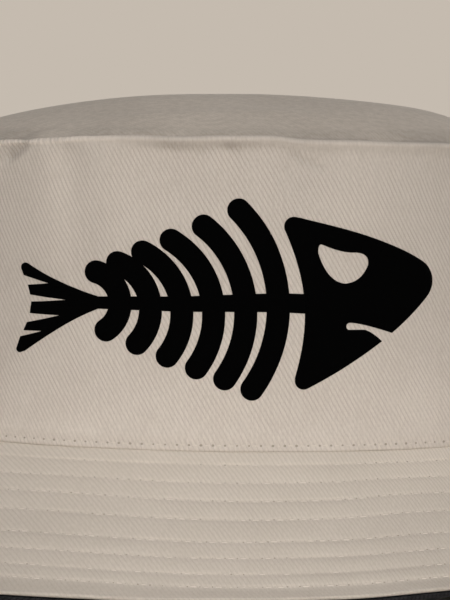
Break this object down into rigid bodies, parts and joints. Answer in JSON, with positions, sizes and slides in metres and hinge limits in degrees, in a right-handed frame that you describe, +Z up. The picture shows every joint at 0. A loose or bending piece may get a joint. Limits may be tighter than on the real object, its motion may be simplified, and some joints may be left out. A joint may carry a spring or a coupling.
{
  "type": "bucket hat",
  "caption": "Two-tone cotton bucket hat: pale twill outside, black lining and under-brim, stitched sloping brim, fish-bone print on the crown's front.",
  "frame": {"origin": "middle of the hat's bounding box on the plane that the brim's edge rests on", "axes": "+Z up through the crown, -Y out of the front that carries the print, +X to the wearer's left"},
  "size_m": [0.2832, 0.2588, 0.1347],
  "materials": {
    "natural_twill": "washed cotton twill, natural beige, matt, with a fine diagonal wale",
    "black_twill": "cotton twill, black, matt, with a fine diagonal wale",
    "print_ink": "flat black screen-print ink on cloth",
    "eyelet_thread": "polyester embroidery thread in satin stitch, beige, soft sheen"
  },
  "bodies": {
    "root": {"crown_top": "natural_twill", "crown_front": "natural_twill", "crown_back": "natural_twill", "brim_upper": "natural_twill", "brim_under": "black_twill", "lining_top": "black_twill", "lining_side": "black_twill", "print_head": "print_ink", "print_ribs": "print_ink", "print_tail": "print_ink", "eyelet_right_front": "eyelet_thread", "eyelet_right_back": "eyelet_thread", "eyelet_left_front": "eyelet_thread", "eyelet_left_back": "eyelet_thread"}
  },
  "joints": []
}
